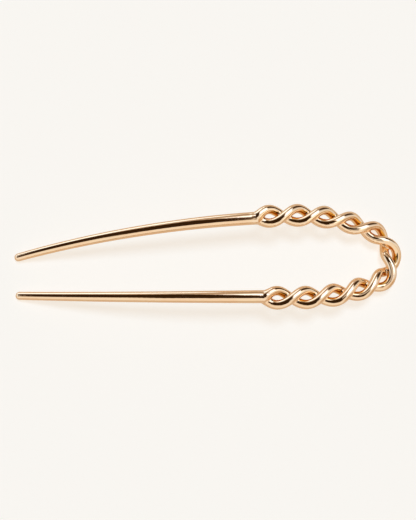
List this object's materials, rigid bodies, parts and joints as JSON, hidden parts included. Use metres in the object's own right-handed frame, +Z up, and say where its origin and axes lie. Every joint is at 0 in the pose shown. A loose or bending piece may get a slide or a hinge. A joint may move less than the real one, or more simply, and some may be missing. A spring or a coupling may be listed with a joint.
{
  "type": "hair fork",
  "caption": "U-shaped metal hair fork with tapered round prongs and an openwork bend of two twisted strands, bowed along its length to follow the head.",
  "frame": {"origin": "middle of the fork's footprint, on the surface that it lies on with its bowed side up", "axes": "+X from the prong tips to the bend, +Y across the two prongs, +Z up, out of the bowed side"},
  "size_m": [0.1125, 0.0306, 0.0133],
  "materials": {
    "gold_metal": "polished"
  },
  "bodies": {
    "root": {"fork": "gold_metal"}
  },
  "joints": []
}
